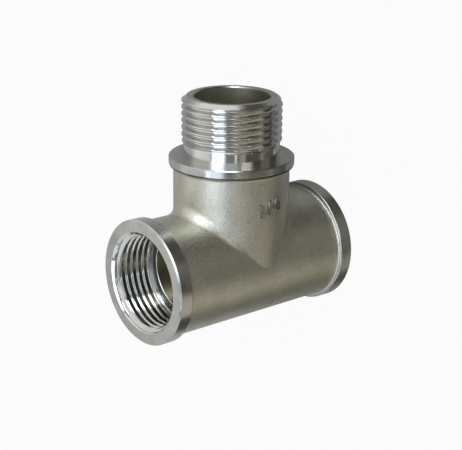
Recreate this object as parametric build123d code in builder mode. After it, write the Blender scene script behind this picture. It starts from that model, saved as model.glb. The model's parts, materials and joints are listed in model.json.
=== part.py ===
from build123d import *
import os

os.makedirs("parts", exist_ok=True)

# A threaded pipe tee, forged and turned in one piece of nickel-plated brass.
# The run lies along X, with an internally threaded port at each end.
# The branch points along +Y and ends in an external thread above a round collar.
# The tee lies on its side, on its two end rings and its collar, and Z is up.
# The origin is where the run's axis and the branch's axis cross.
# Sizes are in millimetres. A name that ends in _d is a diameter.

# Thread of a three-quarter inch parallel pipe joint, the same on all three ends
# The fine helix isn't cut: each threaded wall is a cylinder at the thread's crests.
thread_major_d = 26.441
thread_height = 1.162

# Run, from port face to port face
run_length = 59.4
port_wall = 2.28
run_bore_d = 20.8

# Ports: the mouth is a little wider than the thread, and a shoulder ends it
port_depth = 12.5
mouth_margin = 0.23

# End rings, which stand proud of the run
ring_rise = 1.1
ring_width = 4.1
ring_face_break = 0.4
ring_back_round = 0.4
ring_foot_round = 0.6

# Branch, measured from the run's axis
branch_reach = 45.3
neck_inset = 0.1
branch_bore_d = 20.0
bore_edge_break = 0.3

# Collar
collar_seat = 29.4
collar_thickness = 2.5
collar_edge_break = 0.25

# Plain shank between the collar and the external thread
shank_relief = 0.52
shank_length = 3.3
thread_runout = 0.5

# Lead-in at the branch's end, which cuts a little below the thread's roots
lead_in_margin = 0.26
lead_in_length = 1.0

# Soft inside corner where the neck grows out of the run
crotch_radius = 3.0

# Diameters worked out from the sizes above
thread_minor_d = thread_major_d - 2 * thread_height
run_d = thread_major_d + 2 * port_wall
ring_d = run_d + 2 * ring_rise
neck_d = run_d - 2 * neck_inset
port_mouth_d = thread_major_d + 2 * mouth_margin
shank_d = thread_major_d - 2 * shank_relief
lead_in_d = thread_minor_d - 2 * lead_in_margin

# The collar is as wide as the rings, so that the tee lies level.
collar_d = ring_d

# Places along the run and along the branch
half_run = run_length / 2
ring_back = half_run - ring_width
shoulder = half_run - port_depth
mouth_end = half_run - (port_mouth_d - thread_minor_d) / 2
collar_underside = collar_seat - collar_thickness
shank_end = collar_seat + shank_length
thread_start = shank_end + thread_runout
thread_end = branch_reach - lead_in_length

# Margin that tells one corner of an outline from the next
pick = 0.01


# Outer forging: the run and the branch are turned shapes that meet at right angles
with BuildPart() as tee_body:
    with BuildSketch(Plane.XY) as run_outline:
        with BuildLine():
            Polyline(
                (-half_run, 0),
                (-half_run, ring_d / 2),
                (-ring_back, ring_d / 2),
                (-ring_back, run_d / 2),
                (ring_back, run_d / 2),
                (ring_back, ring_d / 2),
                (half_run, ring_d / 2),
                (half_run, 0),
                close=True,
            )
        make_face()
        face_corners = run_outline.vertices().filter_by(lambda v: abs(v.X) > half_run - pick and v.Y > pick)
        chamfer(face_corners, ring_face_break)
        step_corners = run_outline.vertices().filter_by(lambda v: abs(abs(v.X) - ring_back) < pick)
        fillet(step_corners.filter_by(lambda v: v.Y < run_d / 2 + pick), ring_foot_round)
        step_corners = run_outline.vertices().filter_by(lambda v: abs(abs(v.X) - ring_back) < pick)
        fillet(step_corners.filter_by(lambda v: v.Y > ring_d / 2 - pick), ring_back_round)
    revolve(axis=Axis.X)

    with BuildSketch(Plane.XY):
        with BuildLine():
            Polyline(
                (0, 0),
                (neck_d / 2, 0),
                (neck_d / 2, collar_underside),
                (collar_d / 2, collar_underside),
                (collar_d / 2, collar_seat),
                (shank_d / 2, collar_seat),
                (shank_d / 2, shank_end),
                (thread_major_d / 2, thread_start),
                (thread_major_d / 2, thread_end),
                (lead_in_d / 2, branch_reach),
                (0, branch_reach),
                close=True,
            )
        branch_outline = make_face()
        collar_rim = branch_outline.vertices().filter_by(lambda v: v.X > collar_d / 2 - pick)
        chamfer(collar_rim, collar_edge_break)
    revolve(axis=Axis.Y)

    # The inside corner is widest at the saddle and fades out at the sides,
    # because there the neck runs on into the run without a corner.
    # It is the only edge of the forging that isn't a circle or a straight line.
    seam = tee_body.edges().filter_by(lambda e: e.geom_type not in (GeomType.CIRCLE, GeomType.LINE))
    fillet(seam, crotch_radius)

    # Run bore: both mouths, both threaded ports and the waterway between their shoulders
    with BuildSketch(Plane.XY):
        with BuildLine():
            Polyline(
                (-half_run, 0),
                (-half_run, port_mouth_d / 2),
                (-mouth_end, thread_minor_d / 2),
                (-shoulder, thread_minor_d / 2),
                (-shoulder, run_bore_d / 2),
                (shoulder, run_bore_d / 2),
                (shoulder, thread_minor_d / 2),
                (mouth_end, thread_minor_d / 2),
                (half_run, port_mouth_d / 2),
                (half_run, 0),
                close=True,
            )
        make_face()
    revolve(axis=Axis.X, mode=Mode.SUBTRACT)

    # Branch bore, from the end face down to the run's axis
    with BuildSketch(Plane.XY):
        with BuildLine():
            Polyline(
                (0, 0),
                (branch_bore_d / 2, 0),
                (branch_bore_d / 2, branch_reach - bore_edge_break),
                (branch_bore_d / 2 + bore_edge_break, branch_reach),
                (0, branch_reach),
                close=True,
            )
        make_face()
    revolve(axis=Axis.Y, mode=Mode.SUBTRACT)

tee_body.part.label = "tee_body"
export_step(tee_body.part, "parts/tee_body.step")
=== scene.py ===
# %% [markdown]
# A threaded pipe tee, forged from brass, turned, threaded and nickel plated.
# The part's exact model is the frame: it gives the real size and place of everything here.
# The run lies along X, the branch points along +Y, and the tee lies on its side with Z up.

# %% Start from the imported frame
import json
import math

import bmesh
import bpy
from mathutils import Matrix, Vector


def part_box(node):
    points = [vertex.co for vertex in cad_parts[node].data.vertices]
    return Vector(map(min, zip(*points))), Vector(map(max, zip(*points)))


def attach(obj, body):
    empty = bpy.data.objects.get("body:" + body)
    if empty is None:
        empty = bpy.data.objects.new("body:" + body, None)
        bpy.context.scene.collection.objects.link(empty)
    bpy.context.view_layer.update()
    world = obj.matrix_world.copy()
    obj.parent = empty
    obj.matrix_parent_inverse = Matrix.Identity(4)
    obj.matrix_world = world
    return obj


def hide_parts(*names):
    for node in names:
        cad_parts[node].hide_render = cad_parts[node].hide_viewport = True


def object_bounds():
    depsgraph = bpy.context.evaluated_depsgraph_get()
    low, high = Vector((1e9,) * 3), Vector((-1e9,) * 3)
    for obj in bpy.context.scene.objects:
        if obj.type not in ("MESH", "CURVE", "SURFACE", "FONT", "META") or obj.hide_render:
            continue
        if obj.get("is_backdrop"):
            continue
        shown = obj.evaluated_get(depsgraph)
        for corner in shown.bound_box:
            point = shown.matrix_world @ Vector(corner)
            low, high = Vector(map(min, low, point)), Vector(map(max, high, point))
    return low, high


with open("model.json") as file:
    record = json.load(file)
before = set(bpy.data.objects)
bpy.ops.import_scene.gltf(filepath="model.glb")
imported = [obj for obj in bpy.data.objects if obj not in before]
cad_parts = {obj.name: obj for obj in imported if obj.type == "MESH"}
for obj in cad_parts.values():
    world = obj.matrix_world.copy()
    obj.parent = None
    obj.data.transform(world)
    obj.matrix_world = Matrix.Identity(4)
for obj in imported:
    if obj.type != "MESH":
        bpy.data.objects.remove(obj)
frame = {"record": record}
frame_box = [list(corner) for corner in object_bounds()]
lowest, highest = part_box("tee_body")
mounts = {mount["name"]: mount for mount in frame["record"]["mounts"]}
print("frame box in mm:", [[round(1000 * value, 2) for value in corner] for corner in frame_box])

# %% [markdown]
# Every size comes from the frame where the frame states it, so that the scene fits the model.

# %% Sizes read from the frame
MM = 0.001
half_run = highest.x
ring_radius = highest.z
branch_reach = highest.y
bore_radius = mounts["run_waterway"]["dims"]["r_mm"] * MM
shoulder = mounts["run_waterway"]["dims"]["length_mm"] * MM / 2
minor_radius = mounts["left_port"]["dims"]["r_mm"] * MM
major_radius = mounts["branch_thread"]["dims"]["r_mm"] * MM
branch_bore_radius = mounts["branch_waterway"]["dims"]["r_mm"] * MM
collar_seat = mounts["collar_seat"]["pos_m"][1]

# %% [markdown]
# The rest are the turned details of the forging, in the order in which a lathe hand would read
# them off a drawing. They are the model's own values, apart from the wider lower break and the
# round under the collar and the break inside the shoulders, which only the scene has.

# %% Sizes of the turned details
port_wall = 2.28 * MM
run_radius = major_radius + port_wall
neck_radius = run_radius - 0.1 * MM
crotch_radius = 3.0 * MM
ring_width = 4.1 * MM
ring_face_break = 0.4 * MM
ring_back_round = 0.4 * MM
ring_foot_round = 0.6 * MM
mouth_radius = major_radius + 0.23 * MM
collar_thickness = 2.5 * MM
collar_edge_break = 0.25 * MM
collar_lower_break = 0.5 * MM
collar_foot_round = 1.0 * MM
shank_radius = major_radius - 0.52 * MM
shank_length = 3.3 * MM
lead_in_radius = minor_radius - 0.26 * MM
lead_in_length = 1.0 * MM
bore_edge_break = 0.3 * MM
waterway_edge_break = 0.15 * MM

ring_back = half_run - ring_width
collar_underside = collar_seat - collar_thickness

# %% [markdown]
# A parallel pipe thread of this size has 14 turns to the inch, and its flanks stand 55 degrees
# apart. The standard form rounds crests and roots alike, and the ports have that form. The
# branch's crests are crisper than that, which is judged from the way they shine.

# %% Pipe thread
INCH = 25.4 * MM
TURNS_PER_INCH = 14
ROUNDING_SHARE = 0.1373
pitch = INCH / TURNS_PER_INCH
thread_depth = major_radius - minor_radius
thread_rounding = ROUNDING_SHARE * pitch
crisp_rounding = 0.06 * MM
flank_angle = math.radians(27.5)
rounding_reach = thread_rounding * math.cos(flank_angle)
rounding_rise = thread_rounding * (1 - math.sin(flank_angle))

# Where each groove starts, as a share of the pitch, read off the photo's grooves
port_thread_start = 0.901
branch_thread_start = 0.168
print(f"thread: pitch {pitch / MM:.3f} mm, depth {thread_depth / MM:.3f} mm")

# %% [markdown]
# Most of this part follows rules, so its shape comes from formulas inside Geometry Nodes trees.
# A formula of bare Math nodes is hard to read in a script. This small class lets a formula be
# written as one, such as radius * cos(angle), and adds the Math nodes behind the scenes.

# %% Formulas that build Math nodes
class Number:
    """A number inside a node tree. Arithmetic on it adds Math nodes to the tree."""

    def __init__(self, tree, socket):
        self.tree = tree
        self.socket = socket

    def math(self, operation, *others):
        node = self.tree.nodes.new("ShaderNodeMath")
        node.operation = operation
        for socket, term in zip(node.inputs, (self,) + others):
            feed(self.tree, socket, term)
        return Number(self.tree, node.outputs[0])

    def __add__(self, other):
        return self.math("ADD", other)

    def __radd__(self, other):
        return self.math("ADD", other)

    def __sub__(self, other):
        return self.math("SUBTRACT", other)

    def __rsub__(self, other):
        return self.math("MULTIPLY_ADD", -1.0, other)

    def __mul__(self, other):
        return self.math("MULTIPLY", other)

    def __rmul__(self, other):
        return self.math("MULTIPLY", other)

    def __truediv__(self, other):
        return self.math("DIVIDE", other)

    def __neg__(self):
        return self.math("MULTIPLY", -1.0)

    def limited(self, low, high):
        return self.math("MAXIMUM", low).math("MINIMUM", high)

    def root(self):
        return self.math("MAXIMUM", 0.0).math("SQRT")

    def switch(self, low, high):
        """low where this number is 0, high where it is 1, and a blend in between."""
        return low * (1.0 - self) + high * self


def feed(tree, socket, term):
    """Sets a socket to a plain value, or links a number or another socket to it."""
    if isinstance(term, Number):
        tree.links.new(term.socket, socket)
    elif isinstance(term, bpy.types.NodeSocket):
        tree.links.new(term, socket)
    else:
        socket.default_value = term


def add_node(tree, kind, settings=None, **inputs):
    """Adds a node, with its settings, and feeds its inputs by name."""
    node = tree.nodes.new(kind)
    for key, value in (settings or {}).items():
        setattr(node, key, value)
    for name, term in inputs.items():
        feed(tree, node.inputs[name.replace("_", " ")], term)
    return node

# %% [markdown]
# Each tree starts the same way, with named inputs, and is run the same way: its modifier's
# inputs are set by their identifiers, and the evaluated result is kept as a plain mesh.

# %% Start a tree, run a tree
FLOAT, INTEGER, MATERIAL = "NodeSocketFloat", "NodeSocketInt", "NodeSocketMaterial"
WELD = 0.002 * MM


def new_tree(name, numbers, counts=()):
    """A Geometry Nodes tree with one named input for each size, each count and the finish."""
    tree = bpy.data.node_groups.new(name, "GeometryNodeTree")
    tree.interface.new_socket("Geometry", in_out="INPUT", socket_type="NodeSocketGeometry")
    tree.interface.new_socket("Geometry", in_out="OUTPUT", socket_type="NodeSocketGeometry")
    for label in numbers:
        tree.interface.new_socket(label, in_out="INPUT", socket_type=FLOAT)
    for label in counts:
        tree.interface.new_socket(label, in_out="INPUT", socket_type=INTEGER)
    tree.interface.new_socket("Finish", in_out="INPUT", socket_type=MATERIAL)
    entry = tree.nodes.new("NodeGroupInput")
    given = {socket.name: Number(tree, socket) for socket in entry.outputs if socket.name}
    return tree, given


def close_tree(tree, geometry, given, smooth_below=math.radians(30)):
    """Welds the sheet, keeps its real edges crisp, realizes it and gives it its finish."""
    welded = add_node(tree, "GeometryNodeMergeByDistance", Geometry=geometry, Distance=WELD)
    bend = tree.nodes.new("GeometryNodeInputMeshEdgeAngle")
    soft = Number(tree, bend.outputs[0]).math("LESS_THAN", smooth_below)
    shaded = add_node(tree, "GeometryNodeSetShadeSmooth", {"domain": "EDGE"},
                      Geometry=welded.outputs[0], Shade_Smooth=soft)
    real = add_node(tree, "GeometryNodeRealizeInstances", Geometry=shaded.outputs[0])
    finished = add_node(tree, "GeometryNodeSetMaterial", Geometry=real.outputs[0],
                        Material=given["Finish"])
    leave = tree.nodes.new("NodeGroupOutput")
    tree.links.new(finished.outputs[0], leave.inputs[0])


def run_tree(tree, outline=None, **sizes):
    """Runs a tree and returns its result as a plain mesh."""
    carrier = bpy.data.objects.new(tree.name, outline or bpy.data.meshes.new(tree.name))
    bpy.context.scene.collection.objects.link(carrier)
    modifier = carrier.modifiers.new("Shape", "NODES")
    modifier.node_group = tree
    for item in tree.interface.items_tree:
        key = item.name.replace(" ", "_").lower()
        if item.in_out == "INPUT" and key in sizes:
            modifier[item.identifier] = sizes.pop(key)
    assert not sizes, f"{tree.name} has no input named {sorted(sizes)}"
    evaluated = carrier.evaluated_get(bpy.context.evaluated_depsgraph_get())
    mesh = bpy.data.meshes.new_from_object(evaluated)
    bpy.data.objects.remove(carrier)
    return mesh

# %% [markdown]
# All sheets of this part go once around an axis, and they must meet point to point, so they
# share one spacing of columns. The front steps face the branch. There the columns stand where
# the crossing of the two walls needs them, which "squeeze" says: the sine of each column's angle
# is that share of the sine of an evenly spaced one. A squeeze of 1 spaces all columns evenly.

# %% Columns around an axis
FRONT_STEPS = 90
RUN_BACK_STEPS = 96
BRANCH_BACK_STEPS = 90
TURN = 2 * math.pi


def grid(tree, columns, rows):
    """A flat grid of columns by rows, and the column and row number of each of its points."""
    sheet = add_node(tree, "GeometryNodeMeshGrid", Size_X=1.0, Size_Y=1.0,
                     Vertices_X=columns + 1, Vertices_Y=rows + 1)
    place = add_node(tree, "ShaderNodeSeparateXYZ",
                     Vector=tree.nodes.new("GeometryNodeInputPosition").outputs[0])
    column = ((Number(tree, place.outputs["X"]) + 0.5) * columns).math("ROUND")
    row = ((Number(tree, place.outputs["Y"]) + 0.5) * rows).math("ROUND")
    return sheet.outputs["Mesh"], column, row


def around(column, front, back, squeeze):
    """The angle of a column, measured from the branch's side of the axis."""
    even = (column.math("MINIMUM", front) / front - 0.5) * math.pi
    facing = (even.math("SINE") * squeeze).math("ARCSINE")
    widest = squeeze.math("ARCSINE")
    behind = (column - front).math("MAXIMUM", 0.0) / back * (TURN - 2.0 * widest)
    return facing + behind


def shape_sheet(tree, sheet, x, y, z):
    """Moves each point of the sheet to where the formulas say."""
    place = add_node(tree, "ShaderNodeCombineXYZ", X=x, Y=y, Z=z)
    return add_node(tree, "GeometryNodeSetPosition", Geometry=sheet,
                    Position=place.outputs[0]).outputs["Geometry"]

# %% [markdown]
# A lathe turns an outline into a body. This tree does the same: it reads the outline's points,
# each with its place along the axis and its radius, and gives the sheet one row for each.

# %% Lathe tree
def make_lathe():
    """The tree that turns an outline's points into a sheet around the axis."""
    tree, given = new_tree("Lathe", (), ("Front steps", "Back steps"))
    entry = next(node for node in tree.nodes if node.type == "GROUP_INPUT")
    outline = entry.outputs["Geometry"]
    size = add_node(tree, "GeometryNodeAttributeDomainSize", Geometry=outline)
    rows = Number(tree, size.outputs["Point Count"]) - 1.0
    columns = given["Front steps"] + given["Back steps"]
    sheet, column, row = grid(tree, columns, rows)
    position = tree.nodes.new("GeometryNodeInputPosition").outputs[0]
    point = add_node(tree, "GeometryNodeSampleIndex", {"data_type": "FLOAT_VECTOR"},
                     Geometry=outline, Value=position, Index=row)
    spot = add_node(tree, "ShaderNodeSeparateXYZ", Vector=point.outputs[0])
    named = add_node(tree, "GeometryNodeInputNamedAttribute", {"data_type": "FLOAT"}, Name="squeeze")
    pinch = add_node(tree, "GeometryNodeSampleIndex", {"data_type": "FLOAT"},
                     Geometry=outline, Value=named.outputs[0], Index=row)
    angle = around(column, given["Front steps"], given["Back steps"], Number(tree, pinch.outputs[0]))
    along, radius = (Number(tree, spot.outputs[axis]) for axis in "XY")
    turned = shape_sheet(tree, sheet, along, radius * angle.math("COSINE"), radius * angle.math("SINE"))
    close_tree(tree, turned, given)
    return tree


def outline_mesh(points):
    """An outline as a mesh of loose points: place along the axis, radius and squeeze of each."""
    mesh = bpy.data.meshes.new("outline")
    mesh.from_pydata([(along, radius, 0) for along, radius, squeeze in points], [], [])
    pinch = mesh.attributes.new("squeeze", "FLOAT", "POINT")
    pinch.data.foreach_set("value", [squeeze for along, radius, squeeze in points])
    return mesh


lathe = make_lathe()
print("lathe tree:", len(lathe.nodes), "nodes")

# %% [markdown]
# The thread is one groove that climbs by a pitch in each turn. The tree's rows follow that climb,
# so crests and roots stay clean lines however coarse the mesh is. Rows that pass an end of the
# wall are held at that end, where they fall together and are welded. At the open end the wall is
# cut by a cone, the mouth or the lead-in, and at the inner end it fades into a plain radius.
# Crests have a rounding of their own, so that a thread can be crisper there than in its roots.

# %% Thread tree
PORT_ROWS, BRANCH_ROWS = 14, 18
ROW_CROWDING = 0.45
THREAD_SIZES = ("Pitch", "Depth", "Rounding reach", "Rounding rise", "Rounding", "Crest rounding",
                "Root radius", "Open end", "Inner end", "Mouth radius", "Mouth slope",
                "Plain radius", "Plain length", "Fade length", "Side", "Start", "Squeeze")


def thread_height(given, climb):
    """How far the wall stands above the thread's smallest radius, from the place in the pitch."""
    half = given["Pitch"] / 2.0
    reach = given["Rounding reach"]
    rise = given["Rounding rise"]
    slope = (given["Depth"] - rise * 2.0) / (half - reach * 2.0)
    crispness = given["Crest rounding"] / given["Rounding"]
    crest_reach, crest_rise = reach * crispness, rise * crispness
    flank_end = reach + (given["Depth"] - rise - crest_rise) / slope
    share = (climb - climb.math("ROUND")).math("ABSOLUTE")
    step = share * given["Pitch"]

    def bowl(distance, rounding, reach):
        """The round bottom of a groove, as a height at a distance from its middle."""
        inside = distance.limited(0.0, reach)
        return rounding - (rounding * rounding - inside * inside).root()

    root = bowl(step, given["Rounding"], reach)
    flank = (step.math("MAXIMUM", reach).math("MINIMUM", flank_end) - reach) * slope
    crest = crest_rise - bowl(flank_end + crest_reach - step, given["Crest rounding"], crest_reach)
    return root + flank + crest


def make_thread():
    """The tree that cuts one climbing groove into a wall, between an open and an inner end."""
    tree, given = new_tree("Thread", THREAD_SIZES, ("Front steps", "Back steps", "Rows per turn"))
    low = given["Open end"].math("MINIMUM", given["Inner end"])
    high = given["Open end"].math("MAXIMUM", given["Inner end"])
    per_turn = given["Rows per turn"]
    turns = ((high - low) / given["Pitch"]).math("CEIL") + 3.0
    columns = given["Front steps"] + given["Back steps"]
    sheet, column, row = grid(tree, columns, turns * per_turn)
    angle = around(column, given["Front steps"], given["Back steps"], given["Squeeze"])

    # Rows stand closer at crests and roots, where the wall bends most.
    share = row / per_turn
    crowded = share - (share * (2 * TURN)).math("SINE") * (ROW_CROWDING / (2 * TURN))
    first = (low / given["Pitch"] - given["Start"]).math("FLOOR") - 2.0
    climb = crowded + first
    along = (climb + given["Start"] + angle / TURN) * given["Pitch"]
    along = along.math("MAXIMUM", low).math("MINIMUM", high)

    place = along / given["Pitch"] - angle / TURN - given["Start"]
    threaded = given["Root radius"] + thread_height(given, place)
    from_inner = (along - given["Inner end"]).math("ABSOLUTE")
    fade = ((from_inner - given["Plain length"]) / given["Fade length"]).limited(0.0, 1.0)
    wall = fade.switch(given["Plain radius"], threaded)
    from_mouth = (along - given["Open end"]).math("ABSOLUTE")
    cone = given["Mouth radius"] + given["Mouth slope"] * from_mouth
    side = given["Side"]
    radius = (wall * side).math("MINIMUM", cone * side) * side
    cut = shape_sheet(tree, sheet, along, radius * angle.math("COSINE"), radius * angle.math("SINE"))
    close_tree(tree, cut, given, smooth_below=math.radians(75))
    return tree


thread = make_thread()
print("thread tree:", len(thread.nodes), "nodes")

# %% [markdown]
# Where the neck grows out of the run, the inside corner is what a ball leaves that rolls along
# both walls. The ball's middle is always one radius off each wall, which gives every point of
# the corner by a formula. The same tree with a corner radius of nothing makes the crossing of
# the two bores inside.

# %% Crossing tree
NECK_ROWS, CORNER_ROWS, RUN_ROWS = 8, 10, 10
CROSSING_SIZES = ("Run radius", "Branch radius", "Corner radius", "Run reach", "Branch reach")


def crossing_front(tree, given):
    """The left half of the branch's wall, the corner below it and the run's wall beside it."""
    run, branch, corner = (given[label] for label in CROSSING_SIZES[:3])
    total = NECK_ROWS + CORNER_ROWS + RUN_ROWS
    sheet, column, row = grid(tree, FRONT_STEPS, total)
    around_branch = (column / float(FRONT_STEPS) + 0.5) * math.pi
    cosine, sine = around_branch.math("COSINE"), around_branch.math("SINE")
    ball_x = (branch + corner) * cosine
    ball_z = (branch + corner) * sine
    offset = run + corner
    ball_y = (offset * offset - ball_z * ball_z).root()

    # Directions from the ball's middle to where it touches the neck and the run
    to_run_y, to_run_z = -(ball_y / offset), -(ball_z / offset)
    between = (sine * (ball_z / offset)).math("ARCCOSINE")
    step = ((row - float(NECK_ROWS)) / float(CORNER_ROWS)).limited(0.0, 1.0)
    near = (between * (1.0 - step)).math("SINE") / between.math("SINE")
    far = (between * step).math("SINE") / between.math("SINE")
    x = ball_x + corner * (-(near * cosine))
    y = ball_y + corner * (far * to_run_y)
    z = ball_z + corner * (far * to_run_z - near * sine)

    # Rows crowd together beside the corner, so that its shading stays clear of the long walls.
    up = (1.0 - row / float(NECK_ROWS)).limited(0.0, 1.0)
    out = ((row - float(NECK_ROWS + CORNER_ROWS)) / float(RUN_ROWS)).limited(0.0, 1.0)
    y = y + (given["Branch reach"] - ball_y) * (up * up)
    x = x + (-given["Run reach"] - ball_x) * (out * out)
    return shape_sheet(tree, sheet, x, y, z)


def crossing_back(tree, given):
    """The wall of the run on the side away from the branch, from end to end."""
    run, branch, corner = (given[label] for label in CROSSING_SIZES[:3])
    sheet, column, row = grid(tree, RUN_BACK_STEPS, 2 * RUN_ROWS)
    widest = ((branch + corner) / (run + corner)).math("ARCSINE")
    angle = widest + column / float(RUN_BACK_STEPS) * (TURN - 2.0 * widest)
    out = row / float(RUN_ROWS) - 1.0
    x = given["Run reach"] * (out * out.math("ABSOLUTE"))
    return shape_sheet(tree, sheet, x, run * angle.math("COSINE"), run * angle.math("SINE"))


def make_crossing():
    """The tree for two round walls that cross at a right angle, with a rolled corner or none."""
    tree, given = new_tree("Crossing", CROSSING_SIZES)
    left = crossing_front(tree, given)
    half_turn = add_node(tree, "GeometryNodeTransform", Geometry=left, Rotation=(0, math.pi, 0))
    parts = tree.nodes.new("GeometryNodeJoinGeometry")
    for sheet in (left, half_turn.outputs[0], crossing_back(tree, given)):
        tree.links.new(sheet, parts.inputs[0])
    close_tree(tree, parts.outputs[0], given, smooth_below=math.radians(40))
    return tree


crossing = make_crossing()
print("crossing tree:", len(crossing.nodes), "nodes")

# %% [markdown]
# The finishes. A plated brass tee shows four of them: the blasted skin of the forging, the turned
# faces and rims, the cut threads, and the drilled waterways, where the plating is thin and the
# brass shows through. The raised size figures wear a fifth, the blasted skin in darker colours,
# which is painted shade for the shadows on the figures.
# All of them are metal, so what they show is mostly what they mirror, and the grain of each is in
# its roughness and in a fine bump. Its size is judged. The finishes share these helpers.

# %% Helpers for finishes
NOISE_STRETCH = 2.2


def new_finish(name):
    """A metal finish, its shader and its Object coordinates."""
    finish = bpy.data.materials.new(name)
    finish.use_nodes = True
    tree = finish.node_tree
    shader = next(node for node in tree.nodes if node.type == "BSDF_PRINCIPLED")
    shader.inputs["Metallic"].default_value = 1.0
    return finish, tree, shader, tree.nodes.new("ShaderNodeTexCoord").outputs["Object"]


def speckle(tree, place, size, detail=2.0):
    """Noise from 0 to 1 with blobs of a size in metres."""
    noise = add_node(tree, "ShaderNodeTexNoise", Vector=place, Scale=1 / size, Detail=detail)
    return Number(tree, noise.outputs["Fac"])


def spread(value, low, high):
    """Stretches noise, which stays near the middle, to run from low to high."""
    return ((value - 0.5) * NOISE_STRETCH + 0.5).limited(0.0, 1.0) * (high - low) + low


def blend_colours(tree, share, first, second):
    """The first colour where the share is 0, the second where it is 1, and a blend between."""
    node = add_node(tree, "ShaderNodeMix", {"data_type": "RGBA"}, Factor=share)
    node.inputs["A"].default_value = (*first, 1)
    node.inputs["B"].default_value = (*second, 1)
    return node.outputs["Result"]


def bump(tree, height, distance, before=None):
    """Bump from a height of 0 to 1 that stands for a distance in metres."""
    node = add_node(tree, "ShaderNodeBump", Strength=1.0, Distance=distance, Height=height)
    if before:
        tree.links.new(before, node.inputs["Normal"])
    return node.outputs["Normal"]

# %% [markdown]
# A lathe tool leaves fine lines that circle the axis of what it turns. Noise that is read at a
# place along the axis and a distance from it is the same all the way round, as those lines are.
# A quarter of plain noise breaks them up, so that they don't look printed.

# %% Lines of the lathe tool
LINE_SHARE = 0.75


def tool_lines(tree, place, axis, line, patch):
    """Noise that circles an axis, in lines of one size, broken up by patches of another."""
    spot = add_node(tree, "ShaderNodeSeparateXYZ", Vector=place)
    x, y, z = (Number(tree, spot.outputs[letter]) for letter in "XYZ")
    along, across = (x, y) if axis == "X" else (y, x)
    outward = (across * across + z * z).root()
    flat = add_node(tree, "ShaderNodeCombineXYZ", X=along, Y=outward)
    rings = speckle(tree, flat.outputs[0], line, detail=1.0)
    return rings * LINE_SHARE + speckle(tree, place, patch) * (1 - LINE_SHARE)

# %% [markdown]
# The forging is blasted with grit before it is plated, which leaves its skin dull and finely
# pitted. The pits are two sizes of noise in the bump, a fine grain over shallow dents. Slow patches
# move the colour a little, as uneven plating does. The darker kind is the same skin in darker
# colours, as painted shade for the shadows on the raised figures.

# %% Blasted skin of the forging
GRAIN_SIZE, GRAIN_DEPTH = 0.32 * MM, 0.065 * MM
DENT_SIZE, DENT_DEPTH = 0.75 * MM, 0.045 * MM
SKIN_PATCH_SIZE = 6 * MM


def make_blasted(name, dark, light):
    """Dull plated skin with a fine grain, between a dark and a light colour."""
    finish, tree, shader, place = new_finish(name)
    grain = speckle(tree, place, GRAIN_SIZE)
    dents = speckle(tree, place, DENT_SIZE)
    patches = speckle(tree, place, SKIN_PATCH_SIZE)
    speckled = spread(grain, 0.0, 0.65) + spread(patches, 0.0, 0.35)
    feed(tree, shader.inputs["Base Color"], blend_colours(tree, speckled, dark, light))
    feed(tree, shader.inputs["Roughness"], spread(dents, 0.33, 0.45))
    deep = bump(tree, dents, DENT_DEPTH)
    feed(tree, shader.inputs["Normal"], bump(tree, grain, GRAIN_DEPTH, before=deep))
    return finish

# %% [markdown]
# End rings, port faces and collar are turned after the blasting, so they are smoother than the
# skin and carry the tool's lines. The run and the branch are turned about different axes, so each
# has a finish of its own. The colour changes in slow patches and a little from line to line.

# %% Turned faces and rims
TURNED_LINE_SIZE, TURNED_LINE_BREAK, TURNED_LINE_DEPTH = 0.11 * MM, 2.5 * MM, 0.006 * MM
PLATE_PATCH_SIZE = 5 * MM
TURNED_DARK, TURNED_LIGHT = (0.41, 0.395, 0.355), (0.55, 0.545, 0.52)


def make_turned(name, axis):
    """Smooth turned metal with faint tool lines around an axis."""
    finish, tree, shader, place = new_finish(name)
    lines = tool_lines(tree, place, axis, TURNED_LINE_SIZE, TURNED_LINE_BREAK)
    patches = speckle(tree, place, PLATE_PATCH_SIZE)
    speckled = spread(patches, 0.0, 0.6) + spread(lines, 0.0, 0.4)
    feed(tree, shader.inputs["Base Color"],
         blend_colours(tree, speckled, TURNED_DARK, TURNED_LIGHT))
    feed(tree, shader.inputs["Roughness"], spread(patches, 0.18, 0.30))
    feed(tree, shader.inputs["Normal"], bump(tree, lines, TURNED_LINE_DEPTH))
    return finish

# %% [markdown]
# A threading tool cuts its flanks clean, so the threads are the smoothest and brightest metal of
# the tee, with the finest lines. The ports' threads get lighter colours than the branch's, as
# painted light that brightens the threads inside the ports; the amount is judged.

# %% Cut threads
CUT_LINE_SIZE, CUT_LINE_BREAK, CUT_LINE_DEPTH = 0.1 * MM, 1.2 * MM, 0.003 * MM


def make_cut(name, axis, dark, light):
    """Bright cut metal with very fine tool lines around an axis."""
    finish, tree, shader, place = new_finish(name)
    lines = tool_lines(tree, place, axis, CUT_LINE_SIZE, CUT_LINE_BREAK)
    feed(tree, shader.inputs["Base Color"],
         blend_colours(tree, spread(lines, 0.0, 1.0), dark, light))
    feed(tree, shader.inputs["Roughness"], spread(lines, 0.08, 0.16))
    feed(tree, shader.inputs["Normal"], bump(tree, lines, CUT_LINE_DEPTH))
    return finish

# %% [markdown]
# Plating hardly reaches into the drilled waterways, so brass shows through there in patches, as a
# yellow tone. Their roughness stays in a narrow band, because a wide one leaves dark specks.

# %% Drilled waterways
FINE_SPECKLE_SIZE = 0.5 * MM
PLATED_BORE, BARE_BORE = (0.53, 0.525, 0.47), (0.58, 0.535, 0.39)


def make_drilled():
    """Drilled metal between thin plating and bare brass."""
    finish, tree, shader, place = new_finish("drilled_nickel")
    fine = speckle(tree, place, FINE_SPECKLE_SIZE)
    patches = speckle(tree, place, PLATE_PATCH_SIZE)
    feed(tree, shader.inputs["Base Color"],
         blend_colours(tree, spread(patches, 0.0, 1.0), PLATED_BORE, BARE_BORE))
    feed(tree, shader.inputs["Roughness"], spread(fine, 0.31, 0.36))
    return finish

# %% [markdown]
# Each finish is made once. The two colours of a finish are its darkest and its lightest.

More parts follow.
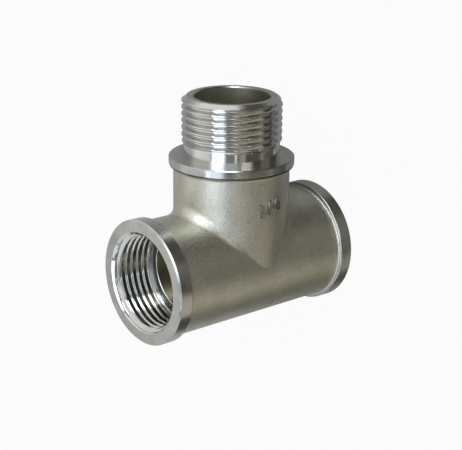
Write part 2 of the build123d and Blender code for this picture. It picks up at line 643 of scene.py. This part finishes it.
# %% Make the finishes
blasted = make_blasted("blasted_nickel", (0.42, 0.40, 0.325), (0.69, 0.675, 0.595))
# The figures' finish is the blasted skin in darker colours, painted shade for their shadows.
painted_shade_skin = make_blasted("stained_nickel", (0.10, 0.095, 0.08), (0.50, 0.485, 0.43))
drilled = make_drilled()
turned_run, turned_branch = make_turned("turned_run", "X"), make_turned("turned_branch", "Y")
# The ports' threads are painted lighter than the branch's, as painted light.
cut_run = make_cut("cut_run_thread", "X", (0.62, 0.61, 0.565), (0.80, 0.795, 0.77))
cut_branch = make_cut("cut_branch_thread", "Y", (0.53, 0.52, 0.48), (0.70, 0.695, 0.67))
threaded = (cut_run, cut_branch)
finishes = [blasted, drilled, turned_run, turned_branch, cut_run, cut_branch]
print("finishes:", [finish.name for finish in finishes + [painted_shade_skin]])

# %% [markdown]
# An outline is a short list of points: along the axis, and out from it. Rounded corners are
# filled in by a helper, as a draughtsman would with a radius gauge.

# %% Helpers for outlines
ROUND_STEPS = 6


def rounded(before, corner, after, radius):
    """Points of the arc that rounds a corner between its two neighbours."""
    corner = Vector(corner)
    back = (Vector(before) - corner).normalized()
    ahead = (Vector(after) - corner).normalized()
    half = back.angle(ahead) / 2
    middle = corner + (back + ahead).normalized() * (radius / math.sin(half))
    start = corner + back * (radius / math.tan(half)) - middle
    end = corner + ahead * (radius / math.tan(half)) - middle
    sweep = start.angle(end)
    points = []
    for step in range(ROUND_STEPS + 1):
        share = step / ROUND_STEPS
        turned_by = start * math.sin((1 - share) * sweep) + end * math.sin(share * sweep)
        points.append(tuple(middle + turned_by / math.sin(sweep)))
    return points


def with_squeeze(points, squeeze):
    """The same outline, with one squeeze for all of its points."""
    return [(along, radius, squeeze) for along, radius in points]


outer_squeeze = (neck_radius + crotch_radius) / (run_radius + crotch_radius)
inner_squeeze = branch_bore_radius / bore_radius

# %% [markdown]
# The run's end, from the plain wall over the ring to the mouth: the ring's foot is rounded where
# the forging die was, and its face is turned square with a small broken edge.

# %% Outline of the run's end
skin_end = ring_back - ring_foot_round - 0.3 * MM
foot = (-ring_back, run_radius)
crown = (-ring_back, ring_radius)
ring_foot_outline = [
    (-skin_end, run_radius),
    *rounded((-skin_end, run_radius), foot, crown, ring_foot_round),
]
ring_outline = [
    ring_foot_outline[-1],
    *rounded(foot, crown, (-half_run, ring_radius), ring_back_round),
    (-half_run + ring_face_break, ring_radius),
    (-half_run, ring_radius - ring_face_break),
    (-half_run, mouth_radius),
]
shoulder_outline = [
    (-shoulder, major_radius, outer_squeeze),
    (-shoulder, bore_radius + waterway_edge_break, inner_squeeze),
    (-shoulder + waterway_edge_break, bore_radius, inner_squeeze),
]

# %% [markdown]
# Above the neck stands the collar, whose upper face is the seat for a gasket. The forging rolls
# out softly into it from below, and its lower edge is broken wider than its upper one. The
# branch's open end is a flat ring with a broken edge towards the bore.

# %% Outline of the branch's collar and of its end
neck_end = collar_underside - collar_foot_round
collar_foot_outline = rounded((neck_end, neck_radius), (collar_underside, neck_radius),
                              (collar_underside, ring_radius), collar_foot_round)
collar_outline = [
    collar_foot_outline[-1],
    (collar_underside, ring_radius - collar_lower_break),
    (collar_underside + collar_lower_break, ring_radius),
    (collar_seat - collar_edge_break, ring_radius),
    (collar_seat, ring_radius - collar_edge_break),
    (collar_seat, shank_radius),
]
end_outline = [
    (branch_reach, lead_in_radius),
    (branch_reach, branch_bore_radius + bore_edge_break),
    (branch_reach - bore_edge_break, branch_bore_radius),
]

# %% [markdown]
# Now the trees are run, one sheet at a time, each with its finish. Beside the shoulder, the port's
# wall is plain and as deep as the thread's roots, where a threading tool would run out. On the
# branch that plain stretch is the shank. The two crossings are the skin outside and the waterways
# inside.

# %% Run the trees
PORT_PLAIN_LENGTH = 0.5 * MM
THREAD_FADE_LENGTH = 0.8 * MM
common = dict(pitch=pitch, depth=thread_depth, root_radius=minor_radius, rounding=thread_rounding,
              rounding_reach=rounding_reach, rounding_rise=rounding_rise,
              fade_length=THREAD_FADE_LENGTH, front_steps=FRONT_STEPS)
run_steps = dict(front_steps=FRONT_STEPS, back_steps=RUN_BACK_STEPS)
branch_steps = dict(front_steps=FRONT_STEPS, back_steps=BRANCH_BACK_STEPS)


def turned_sheet(points, finish, steps):
    """One outline, turned on the lathe, in one finish."""
    return run_tree(lathe, outline_mesh(points), finish=finish, **steps)


left_end = [
    turned_sheet(with_squeeze(ring_foot_outline, outer_squeeze), blasted, run_steps),
    turned_sheet(with_squeeze(ring_outline, outer_squeeze), turned_run, run_steps),
    turned_sheet(shoulder_outline, turned_run, run_steps),
    run_tree(thread, back_steps=RUN_BACK_STEPS, squeeze=outer_squeeze, side=-1.0,
             open_end=-half_run, inner_end=-shoulder, mouth_radius=mouth_radius, mouth_slope=-1.0,
             plain_radius=major_radius, plain_length=PORT_PLAIN_LENGTH,
             crest_rounding=thread_rounding, rows_per_turn=PORT_ROWS, start=port_thread_start,
             finish=cut_run, **common),
]
branch_parts = [
    turned_sheet(with_squeeze(collar_foot_outline, 1.0), blasted, branch_steps),
    turned_sheet(with_squeeze(collar_outline, 1.0), turned_branch, branch_steps),
    turned_sheet(with_squeeze(end_outline, 1.0), turned_branch, branch_steps),
    run_tree(thread, back_steps=BRANCH_BACK_STEPS, squeeze=1.0, side=1.0,
             open_end=branch_reach, inner_end=collar_seat, mouth_radius=lead_in_radius,
             mouth_slope=(major_radius - lead_in_radius) / lead_in_length,
             plain_radius=shank_radius, plain_length=shank_length,
             crest_rounding=crisp_rounding, rows_per_turn=BRANCH_ROWS, start=branch_thread_start,
             finish=cut_branch, **common),
]
skin = run_tree(crossing, run_radius=run_radius, branch_radius=neck_radius,
                corner_radius=crotch_radius, run_reach=skin_end, branch_reach=neck_end,
                finish=blasted)
waterways = run_tree(crossing, run_radius=bore_radius, branch_radius=branch_bore_radius,
                     corner_radius=0.0, run_reach=shoulder - waterway_edge_break,
                     branch_reach=branch_reach - bore_edge_break, finish=drilled)
print("sheets:", len(left_end) + len(branch_parts) + 2)

# %% [markdown]
# The sheets come off the lathe along X. The branch's are stood up along Y, and the right port is
# the left one after half a turn about the branch, so both threads stay right-handed. Then all
# sheets are welded into the one closed skin that the real casting has.

# %% Weld the tee
CRISP_ABOVE = math.radians(35)
UPRIGHT = Matrix(((0, 0, 1, 0), (1, 0, 0, 0), (0, 1, 0, 0), (0, 0, 0, 1)))
HALF_TURN = Matrix.Diagonal((-1, 1, -1, 1))


def weld(name, placed, finishes):
    """Joins placed sheets into one closed mesh object and reports what it measures."""
    whole_mesh = bmesh.new()
    for mesh, place in placed:
        sheet = mesh.copy()
        sheet.transform(place)
        slot = finishes.index(next(finish for finish in mesh.materials if finish))
        start = len(whole_mesh.faces)
        whole_mesh.from_mesh(sheet)
        whole_mesh.faces.ensure_lookup_table()
        for face in whole_mesh.faces[start:]:
            face.material_index = slot
        bpy.data.meshes.remove(sheet)
    bmesh.ops.remove_doubles(whole_mesh, verts=whole_mesh.verts, dist=WELD)
    bmesh.ops.recalc_face_normals(whole_mesh, faces=whole_mesh.faces)
    open_edges = 0
    for edge in whole_mesh.edges:
        open_edges += len(edge.link_faces) != 2
        on_thread = all(finishes[face.material_index] in threaded for face in edge.link_faces)
        if not on_thread and edge.calc_face_angle(0) > CRISP_ABOVE:
            edge.smooth = False
    if whole_mesh.calc_volume(signed=True) < 0:
        bmesh.ops.reverse_faces(whole_mesh, faces=whole_mesh.faces)
    volume = whole_mesh.calc_volume() / MM ** 3
    mesh = bpy.data.meshes.new(name)
    whole_mesh.to_mesh(mesh)
    whole_mesh.free()
    for finish in finishes:
        mesh.materials.append(finish)
    triangles = sum(len(face.vertices) - 2 for face in mesh.polygons)
    print(f"{name}: {triangles} triangles, {open_edges} open edges, {volume:.0f} cubic mm")
    piece = bpy.data.objects.new(name, mesh)
    bpy.context.scene.collection.objects.link(piece)
    return piece


AS_TURNED = Matrix.Identity(4)
placed = [(skin, AS_TURNED), (waterways, AS_TURNED)]
placed += [(mesh, AS_TURNED) for mesh in left_end]
placed += [(mesh, HALF_TURN) for mesh in left_end]
placed += [(mesh, UPRIGHT) for mesh in branch_parts]
tee = weld("threaded_tee", placed, finishes)
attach(tee, "root")
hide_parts("tee_body")

# %% [markdown]
# Forged fittings carry their size on the neck, in raised figures that are cut into the die.
# The figures start as flat text, are made a closed mesh, and are then bent onto the neck.

# %% Raised size figures on the neck
MARK_MIDDLE = 18.5 * MM
MARK_HEIGHT = 3.4 * MM
MARK_RISE = 0.45 * MM
MARK_TILT = math.radians(14)
CAP_SHARE = 0.7
FIGURE_SPACING = 1.25
FIGURE_SWELL = 0.07 * MM
FIGURE_EDGE_ROUND = 0.05 * MM


def make_mark(name, figures, finish):
    """Raised figures in one finish, bent onto the neck and tilted there."""
    letters = bpy.data.curves.new(name, "FONT")
    letters.body = figures
    letters.size = MARK_HEIGHT / CAP_SHARE
    letters.space_character = FIGURE_SPACING
    letters.align_x = "CENTER"
    letters.offset = FIGURE_SWELL
    letters.extrude = MARK_RISE
    letters.bevel_depth = FIGURE_EDGE_ROUND
    letters.bevel_resolution = 1
    flat = bpy.data.objects.new(name, letters)
    bpy.context.scene.collection.objects.link(flat)
    mesh = bpy.data.meshes.new_from_object(flat.evaluated_get(bpy.context.evaluated_depsgraph_get()))
    bpy.data.objects.remove(flat)
    raised = bmesh.new()
    raised.from_mesh(mesh)
    bmesh.ops.remove_doubles(raised, verts=raised.verts, dist=WELD)
    bmesh.ops.recalc_face_normals(raised, faces=raised.faces)
    for point in raised.verts:
        across, up = point.co.x, point.co.y - MARK_HEIGHT / 2
        angle = (across * math.cos(MARK_TILT) - up * math.sin(MARK_TILT)) / neck_radius
        height = MARK_MIDDLE + across * math.sin(MARK_TILT) + up * math.cos(MARK_TILT)
        radius = neck_radius + point.co.z
        point.co = (radius * math.sin(angle), height, radius * math.cos(angle))
    open_edges = sum(len(edge.link_faces) != 2 for edge in raised.edges)
    raised.to_mesh(mesh)
    raised.free()
    mesh.materials.clear()
    mesh.materials.append(finish)
    print(f"{name}: {len(mesh.polygons)} faces, {open_edges} open edges")
    mark = bpy.data.objects.new(name, mesh)
    bpy.context.scene.collection.objects.link(mark)
    return mark


# The figures wear the darkened skin, painted shade for their shadows.
size_mark = make_mark("size_mark", "3/4", painted_shade_skin)
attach(size_mark, "root")

# %% [markdown]
# The photo's camera. Its place was found by fitting the known circles of the tee to the photo,
# with the tee upright on its run. The same camera is then laid down with the tee.

# %% Camera
camera_azimuth, camera_elevation = math.radians(-39.87), math.radians(18.49)
camera_roll = math.radians(0.61)
camera_distance = 0.360
camera_right, camera_up = 0.16 * MM, 9.18 * MM
focal_pixels, image_width = 1330.83, 462
FILM_WIDTH = 36


def photo_axes():
    """The photo's right, up and towards-the-viewer directions, as the tee lies."""
    towards = Vector((math.sin(camera_azimuth) * math.cos(camera_elevation),
                      -math.cos(camera_azimuth) * math.cos(camera_elevation),
                      math.sin(camera_elevation)))
    level = Vector((math.cos(camera_azimuth), math.sin(camera_azimuth), 0))
    upright = towards.cross(level)
    right = math.cos(camera_roll) * level + math.sin(camera_roll) * upright
    up = math.cos(camera_roll) * upright - math.sin(camera_roll) * level
    lie_down = Matrix.Rotation(-math.pi / 2, 3, "X")
    return [lie_down @ axis for axis in (right, up, towards)]


photo_right, photo_up, photo_towards = photo_axes()
lens = bpy.data.cameras.new("camera")
lens.sensor_width = FILM_WIDTH
lens.lens = focal_pixels / image_width * FILM_WIDTH
lens.clip_start = 0.01
lens.clip_end = 20
camera = bpy.data.objects.new("camera", lens)
bpy.context.scene.collection.objects.link(camera)
bpy.context.scene.camera = camera
stand = photo_towards * camera_distance + photo_right * camera_right + photo_up * camera_up
axes = Matrix((photo_right, photo_up, photo_towards)).transposed()
camera.matrix_world = Matrix.Translation(stand) @ axes.to_4x4()
print("camera at", [round(value, 4) for value in stand])

# %% [markdown]
# The floor is plain and pale, and keeps the tee's shadow. Seen straight, it glows near white, as
# the paper under a studio photo does, and throws no more light on dull things for it. Mirrored in
# the metal, it glows only to the left and behind, where the tee in the photo mirrors something
# bright, and each of these sides fades into the grey floor by a soft step.

# %% Floor
FLOOR_REACH = 3.0
FLOOR_GREY = (0.55, 0.55, 0.55, 1)
FLOOR_SEEN_WHITE = 0.95


def soft_step(tree, value, begin, end, low, high):
    """Low where the value is at begin, high where it is at end, and a smooth step between."""
    step = add_node(tree, "ShaderNodeMapRange", {"interpolation_type": "SMOOTHSTEP"},
                    Value=value, From_Min=begin, From_Max=end, To_Min=low, To_Max=high)
    return Number(tree, step.outputs["Result"])


def make_floor(reach, level):
    """A square floor, with its paint and its glow."""
    mesh = bpy.data.meshes.new("floor")
    mesh.from_pydata([(-reach, -reach, level), (reach, -reach, level), (reach, reach, level),
                      (-reach, reach, level)], [], [(0, 1, 2, 3)])
    paint = bpy.data.materials.new("pale_floor")
    paint.use_nodes = True
    tree = paint.node_tree
    shader = next(node for node in tree.nodes if node.type == "BSDF_PRINCIPLED")
    shader.inputs["Base Color"].default_value = FLOOR_GREY
    shader.inputs["Roughness"].default_value = 0.9
    glow = tree.nodes.new("ShaderNodeEmission")
    glow.inputs["Color"].default_value = (1, 1, 1, 1)
    glow.inputs["Strength"].default_value = 1.0
    place = tree.nodes.new("ShaderNodeTexCoord").outputs["Object"]
    spot = add_node(tree, "ShaderNodeSeparateXYZ", Vector=place)
    x, y = (Number(tree, spot.outputs[letter]) for letter in "XY")
    left = soft_step(tree, x + y * 0.5, 0.04, -0.045, 0.0, 0.52)
    behind = soft_step(tree, y, 0.008, 0.025, 0.72, 1.0)
    beside = soft_step(tree, y * 0.35 - x, 0.026, 0.042, 0.0, 1.0)
    ray = tree.nodes.new("ShaderNodeLightPath")
    seen = Number(tree, ray.outputs["Is Camera Ray"]) * FLOOR_SEEN_WHITE
    bright = left.math("MAXIMUM", behind * beside)
    mirrored = Number(tree, ray.outputs["Is Glossy Ray"]) * bright
    mix = add_node(tree, "ShaderNodeMixShader", Fac=seen + mirrored)
    tree.links.new(shader.outputs[0], mix.inputs[1])
    tree.links.new(glow.outputs[0], mix.inputs[2])
    out = next(node for node in tree.nodes if node.type == "OUTPUT_MATERIAL")
    tree.links.new(mix.outputs[0], out.inputs["Surface"])
    mesh.materials.append(paint)
    floor = bpy.data.objects.new("floor", mesh)
    bpy.context.scene.collection.objects.link(floor)
    floor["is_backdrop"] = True


make_floor(FLOOR_REACH, lowest.z)
print("floor at", round(lowest.z / MM, 2), "mm")

# %% [markdown]
# Metal shows what stands around it, so the lamps are large flat boxes in a ring around the tee,
# out of the camera's sight. Bright cool ones stand behind and to the left, and weak ones fill the
# rest. Their places and strengths were set one by one, until the highlights looked like the photo's.

# %% Lights
LAMP_DISTANCE = 0.7


def softbox(name, azimuth, elevation, width, height, brightness, colour=(1, 1, 1)):
    """A flat, even lamp that faces the tee. Azimuth counts from the right port towards the branch."""
    turn, climb = math.radians(azimuth), math.radians(elevation)
    away = Vector((math.cos(turn) * math.cos(climb), math.sin(turn) * math.cos(climb), math.sin(climb)))
    lamp = bpy.data.lights.new(name, "AREA")
    lamp.shape = "RECTANGLE"
    lamp.size, lamp.size_y = width, height
    # A mirror shows the lamp as bright as this number says, where 1 is white.
    lamp.energy = brightness * math.pi * width * height
    lamp.color = colour
    holder = bpy.data.objects.new(name, lamp)
    bpy.context.scene.collection.objects.link(holder)
    holder.location = away * LAMP_DISTANCE
    holder.rotation_euler = away.to_track_quat("Z", "Y").to_euler()
    holder.visible_camera = False


SKY, COOL, WARM = (0.72, 0.83, 1.0), (0.80, 0.89, 1.0), (1.0, 0.96, 0.84)
softbox("key_back", 116, 13, 0.52, 0.30, 5.2, COOL)
softbox("key_left", 160, 16, 0.44, 0.38, 3.6, COOL)
softbox("window_low", 200, 8, 0.44, 0.10, 3.8, SKY)
softbox("window_high", 198, 24, 0.44, 0.24, 2.2, SKY)
softbox("fill_back", 150, 46, 0.46, 0.34, 1.0, COOL)
softbox("window_front", 240, 14, 0.44, 0.30, 1.0, SKY)
softbox("fill_left", 205, 46, 0.46, 0.34, 0.16, COOL)
softbox("fill_front", 281, 47, 0.96, 0.50, 0.58, WARM)
softbox("fill_right", 15, 40, 0.60, 0.36, 0.16)
softbox("fill_top", 160, 74, 0.50, 0.36, 0.30)
softbox("window_right", 345, 6, 0.50, 0.16, 0.3, SKY)
softbox("top_back", 98, 66, 0.30, 0.16, 1.8)
softbox("strip", 218, 59, 0.70, 0.02, 1.8)

# %% [markdown]
# Around the lamps the room is dim and a little warm, which gives the metal its dark stretches.
# The camera alone sees a backdrop, as pale as the floor.

# %% Room and backdrop
ROOM_COLOUR = (0.10, 0.094, 0.077, 1)
BACKDROP_COLOUR = (0.95, 0.95, 0.95, 1)
world = bpy.data.worlds.new("studio")
bpy.context.scene.world = world
world.use_nodes = True
tree = world.node_tree
room = tree.nodes["Background"]
room.inputs["Color"].default_value = ROOM_COLOUR
backdrop = tree.nodes.new("ShaderNodeBackground")
backdrop.inputs["Color"].default_value = BACKDROP_COLOUR
seen = tree.nodes.new("ShaderNodeLightPath").outputs["Is Camera Ray"]
mix = add_node(tree, "ShaderNodeMixShader", Fac=seen)
tree.links.new(room.outputs[0], mix.inputs[1])
tree.links.new(backdrop.outputs[0], mix.inputs[2])
tree.links.new(mix.outputs[0], tree.nodes["World Output"].inputs["Surface"])
bpy.context.scene.view_settings.view_transform = "Standard"
print("lamps:", len(bpy.data.lights))

# %% [markdown]
# The finished tee is measured once more, and its box is printed in millimetres.

# %% Sizes, and done
visual_box = [list(corner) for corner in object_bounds()]
print("visual box in mm:", [[round(1000 * value, 2) for value in corner] for corner in visual_box])
